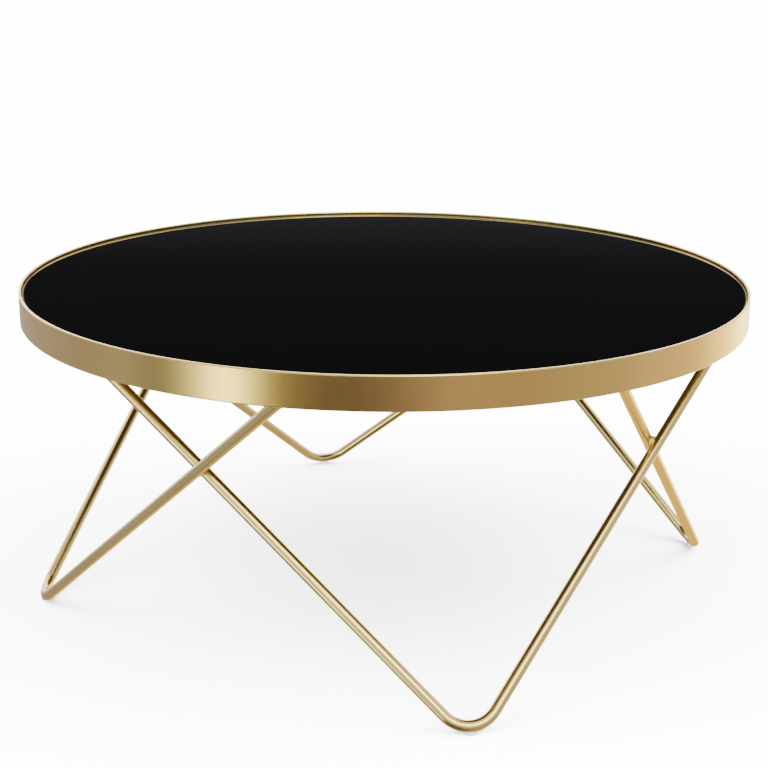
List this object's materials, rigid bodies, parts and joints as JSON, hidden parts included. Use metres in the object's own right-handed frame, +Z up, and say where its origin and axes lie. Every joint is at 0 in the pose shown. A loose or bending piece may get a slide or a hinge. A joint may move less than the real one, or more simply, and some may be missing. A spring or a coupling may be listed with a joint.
{
  "type": "coffee table",
  "caption": "Low round coffee table: a black glass top lying in a flat gold-finished hoop, on crossing V-shaped rod legs.",
  "frame": {"origin": "on the floor, under the middle of the round top", "axes": "+Z up; the front leg's foot is towards -Y, and the other three feet are a quarter turn apart"},
  "size_m": [0.825, 0.825, 0.37],
  "materials": {
    "gold_frame": "satin champagne gold",
    "black_glass": "black, polished on top",
    "clear_pad": "clear silicone",
    "zinc_steel": "zinc-plated"
  },
  "bodies": {
    "root": {"crossing_weld_back_left": "gold_frame", "crossing_weld_front_right": "gold_frame", "crossing_weld_left_front": "gold_frame", "crossing_weld_right_back": "gold_frame", "foot_glide_back": "clear_pad", "foot_glide_front": "clear_pad", "foot_glide_left": "clear_pad", "foot_glide_right": "clear_pad", "glass_ledge": "gold_frame", "glass_pad_1": "clear_pad", "glass_pad_2": "clear_pad", "glass_pad_3": "clear_pad", "glass_pad_4": "clear_pad", "glass_pad_5": "clear_pad", "glass_pad_6": "clear_pad", "glass_pad_7": "clear_pad", "glass_pad_8": "clear_pad", "leg_back": "gold_frame", "leg_front": "gold_frame", "leg_left": "gold_frame", "leg_right": "gold_frame", "leg_tab_back_inner": "gold_frame", "leg_tab_back_outer": "gold_frame", "leg_tab_front_inner": "gold_frame", "leg_tab_front_outer": "gold_frame", "leg_tab_left_inner": "gold_frame", "leg_tab_left_outer": "gold_frame", "leg_tab_right_inner": "gold_frame", "leg_tab_right_outer": "gold_frame", "rim_band": "gold_frame", "tab_screw_back_inner": "zinc_steel", "tab_screw_back_outer": "zinc_steel", "tab_screw_front_inner": "zinc_steel", "tab_screw_front_outer": "zinc_steel", "tab_screw_left_inner": "zinc_steel", "tab_screw_left_outer": "zinc_steel", "tab_screw_right_inner": "zinc_steel", "tab_screw_right_outer": "zinc_steel", "tab_washer_back_inner": "zinc_steel", "tab_washer_back_outer": "zinc_steel", "tab_washer_front_inner": "zinc_steel", "tab_washer_front_outer": "zinc_steel", "tab_washer_left_inner": "zinc_steel", "tab_washer_left_outer": "zinc_steel", "tab_washer_right_inner": "zinc_steel", "tab_washer_right_outer": "zinc_steel"},
    "glass": {"glass_top": "black_glass"}
  },
  "joints": [
    {"name": "glass_lift", "type": "slide", "parent": "root", "child": "glass", "axis": [0, 0, 1], "range_m": [0, 0.3]}
  ]
}
